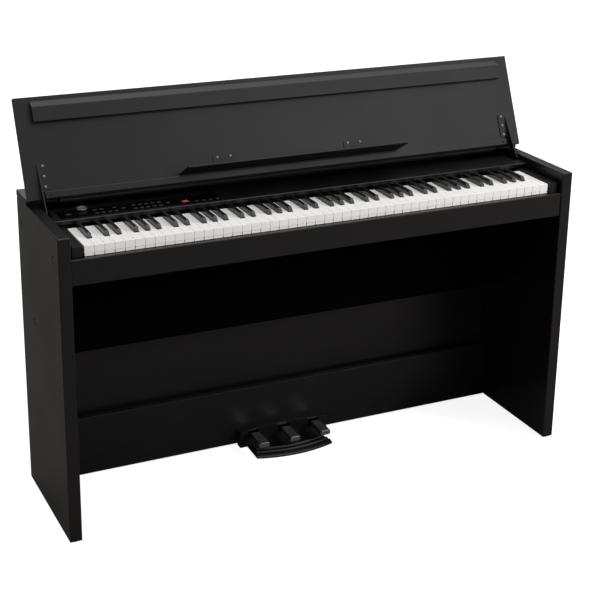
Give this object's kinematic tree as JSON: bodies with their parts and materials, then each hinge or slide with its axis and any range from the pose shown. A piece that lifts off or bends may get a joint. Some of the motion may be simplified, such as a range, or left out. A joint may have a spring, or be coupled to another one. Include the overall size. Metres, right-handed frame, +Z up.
{
  "type": "digital piano on stand",
  "caption": "Slim console digital piano: slab cabinet with side panels, folding lid with music ledge, weighted keyboard, control panel and three pedals.",
  "frame": {"origin": "centre of the bounding box's underside, on the floor, with the lid open", "axes": "+X to the player's right along the keyboard, +Y away from the player towards the back, +Z up"},
  "size_m": [1.355, 0.3546, 0.991],
  "materials": {
    "satin_black_board": "satin black laminate on board",
    "raw_black_board": "matt black stained board",
    "speaker_cloth": "black woven cloth",
    "black_plastic": "fine-grained black plastic",
    "white_key": "glossy white",
    "black_key": "satin black",
    "silver_plastic": "silver paint",
    "chrome": "polished",
    "black_steel": "semi-gloss black",
    "steel": "plain",
    "rubber": "matt",
    "circuit_board": "green solder mask",
    "display_window": "dark red filter"
  },
  "bodies": {
    "cabinet": {"left_side_panel": "satin_black_board", "right_side_panel": "satin_black_board", "front_left_foot": "rubber", "rear_left_foot": "rubber", "front_right_foot": "rubber", "rear_right_foot": "rubber", "back_panel": "satin_black_board", "pedal_board": "satin_black_board", "key_bed": "raw_black_board", "case_back": "satin_black_board", "rear_top_board": "satin_black_board", "key_slip": "satin_black_board", "left_cheek": "black_plastic", "right_cheek": "black_plastic", "speaker_cloth": "speaker_cloth", "speaker_box": "raw_black_board", "left_speaker": "black_plastic", "right_speaker": "black_plastic", "control_panel": "satin_black_board", "display_window": "display_window", "main_board": "circuit_board", "power_inlet": "black_plastic", "headphone_box": "black_plastic", "contact_board": "circuit_board", "key_frame": "black_plastic", "hinge_fixed_leaf": "black_steel", "hinge_pin": "steel", "left_lid_guide": "black_steel", "right_lid_guide": "black_steel", "pedal_housing": "black_plastic", "pedal_shaft": "steel", "pedal_base": "black_plastic"},
    "lid": {"lid_board": "satin_black_board", "lid_lip": "satin_black_board", "lid_strip": "satin_black_board", "hinge_moving_leaf": "black_steel", "left_lid_arm": "black_steel", "right_lid_arm": "black_steel", "left_ledge_hinge": "black_steel", "right_ledge_hinge": "black_steel"},
    "music_ledge": {"music_ledge": "satin_black_board"},
    "bass_white_keys": {"bass_white_keys": "white_key"},
    "treble_white_keys": {"treble_white_keys": "white_key"},
    "bass_black_keys": {"bass_black_keys": "black_key"},
    "treble_black_keys": {"treble_black_keys": "black_key"},
    "key_f": {"key_f": "white_key"},
    "key_g": {"key_g": "white_key"},
    "key_a": {"key_a": "white_key"},
    "key_b": {"key_b": "white_key"},
    "key_f_sharp": {"key_f_sharp": "black_key"},
    "key_g_sharp": {"key_g_sharp": "black_key"},
    "key_a_sharp": {"key_a_sharp": "black_key"},
    "left_pedal": {"left_pedal": "chrome"},
    "middle_pedal": {"middle_pedal": "chrome"},
    "right_pedal": {"right_pedal": "chrome"},
    "volume_knob": {"volume_knob": "silver_plastic"},
    "power_button": {"power_button": "black_plastic"},
    "function_buttons": {"function_buttons": "black_plastic"},
    "sound_buttons": {"sound_buttons": "black_plastic"},
    "transport_buttons": {"transport_buttons": "black_plastic"}
  },
  "joints": [
    {"name": "lid_hinge", "type": "hinge", "parent": "cabinet", "child": "lid", "pos_m": [0, 0.07031, 0.76073], "axis": [1, 0, 0], "range_deg": [0, 113.6]},
    {"name": "ledge_hinge", "type": "hinge", "parent": "lid", "child": "music_ledge", "pos_m": [0, 0.06961, 0.79214], "axis": [1, 0, 0], "range_deg": [-84, 0]},
    {"name": "bass_white_keys_hinge", "type": "hinge", "parent": "cabinet", "child": "bass_white_keys", "pos_m": [0, 0.05266, 0.702], "axis": [1, 0, 0], "range_deg": [0, 2.7], "stiffness_Nm_per_rad": 26, "springref_deg": -14.32},
    {"name": "treble_white_keys_hinge", "type": "hinge", "parent": "cabinet", "child": "treble_white_keys", "pos_m": [0, 0.05266, 0.702], "axis": [1, 0, 0], "range_deg": [0, 2.7], "stiffness_Nm_per_rad": 24, "springref_deg": -14.32},
    {"name": "bass_black_keys_hinge", "type": "hinge", "parent": "cabinet", "child": "bass_black_keys", "pos_m": [0, 0.05266, 0.713], "axis": [1, 0, 0], "range_deg": [0, 3.2], "stiffness_Nm_per_rad": 6, "springref_deg": -14.32},
    {"name": "treble_black_keys_hinge", "type": "hinge", "parent": "cabinet", "child": "treble_black_keys", "pos_m": [0, 0.05266, 0.713], "axis": [1, 0, 0], "range_deg": [0, 3.2], "stiffness_Nm_per_rad": 6, "springref_deg": -14.32},
    {"name": "key_f_hinge", "type": "hinge", "parent": "cabinet", "child": "key_f", "pos_m": [0, 0.05266, 0.702], "axis": [1, 0, 0], "range_deg": [0, 2.7], "stiffness_Nm_per_rad": 1, "springref_deg": -14.32},
    {"name": "key_g_hinge", "type": "hinge", "parent": "cabinet", "child": "key_g", "pos_m": [0, 0.05266, 0.702], "axis": [1, 0, 0], "range_deg": [0, 2.7], "stiffness_Nm_per_rad": 1, "springref_deg": -14.32},
    {"name": "key_a_hinge", "type": "hinge", "parent": "cabinet", "child": "key_a", "pos_m": [0, 0.05266, 0.702], "axis": [1, 0, 0], "range_deg": [0, 2.7], "stiffness_Nm_per_rad": 1, "springref_deg": -14.32},
    {"name": "key_b_hinge", "type": "hinge", "parent": "cabinet", "child": "key_b", "pos_m": [0, 0.05266, 0.702], "axis": [1, 0, 0], "range_deg": [0, 2.7], "stiffness_Nm_per_rad": 1, "springref_deg": -14.32},
    {"name": "key_f_sharp_hinge", "type": "hinge", "parent": "cabinet", "child": "key_f_sharp", "pos_m": [0, 0.05266, 0.713], "axis": [1, 0, 0], "range_deg": [0, 3.2], "stiffness_Nm_per_rad": 0.35, "springref_deg": -14.32},
    {"name": "key_g_sharp_hinge", "type": "hinge", "parent": "cabinet", "child": "key_g_sharp", "pos_m": [0, 0.05266, 0.713], "axis": [1, 0, 0], "range_deg": [0, 3.2], "stiffness_Nm_per_rad": 0.35, "springref_deg": -14.32},
    {"name": "key_a_sharp_hinge", "type": "hinge", "parent": "cabinet", "child": "key_a_sharp", "pos_m": [0, 0.05266, 0.713], "axis": [1, 0, 0], "range_deg": [0, 3.2], "stiffness_Nm_per_rad": 0.35, "springref_deg": -14.32},
    {"name": "left_pedal_hinge", "type": "hinge", "parent": "cabinet", "child": "left_pedal", "pos_m": [0, 0.11565, 0.034], "axis": [1, 0, 0], "range_deg": [0, 6], "stiffness_Nm_per_rad": 4, "springref_deg": -8.59},
    {"name": "middle_pedal_hinge", "type": "hinge", "parent": "cabinet", "child": "middle_pedal", "pos_m": [0, 0.11565, 0.034], "axis": [1, 0, 0], "range_deg": [0, 6], "stiffness_Nm_per_rad": 4, "springref_deg": -8.59},
    {"name": "right_pedal_hinge", "type": "hinge", "parent": "cabinet", "child": "right_pedal", "pos_m": [0, 0.11565, 0.034], "axis": [1, 0, 0], "range_deg": [0, 6], "stiffness_Nm_per_rad": 4, "springref_deg": -8.59},
    {"name": "volume_turn", "type": "hinge", "parent": "cabinet", "child": "volume_knob", "pos_m": [-0.556, 0.04566, 0.739], "axis": [0, 0, 1], "range_deg": [-140, 140]},
    {"name": "power_button_press", "type": "slide", "parent": "cabinet", "child": "power_button", "axis": [0, 0, -1], "range_m": [0, 0.0012], "stiffness_N_per_m": 800, "springref_m": -0.001},
    {"name": "function_buttons_press", "type": "slide", "parent": "cabinet", "child": "function_buttons", "axis": [0, 0, -1], "range_m": [0, 0.001], "stiffness_N_per_m": 1500, "springref_m": -0.001},
    {"name": "sound_buttons_press", "type": "slide", "parent": "cabinet", "child": "sound_buttons", "axis": [0, 0, -1], "range_m": [0, 0.001], "stiffness_N_per_m": 1500, "springref_m": -0.001},
    {"name": "transport_buttons_press", "type": "slide", "parent": "cabinet", "child": "transport_buttons", "axis": [0, 0, -1], "range_m": [0, 0.001], "stiffness_N_per_m": 1000, "springref_m": -0.001}
  ],
  "couplings": [
    {"joint": "ledge_hinge", "follows": "lid_hinge", "ratio": -0.7359}
  ]
}
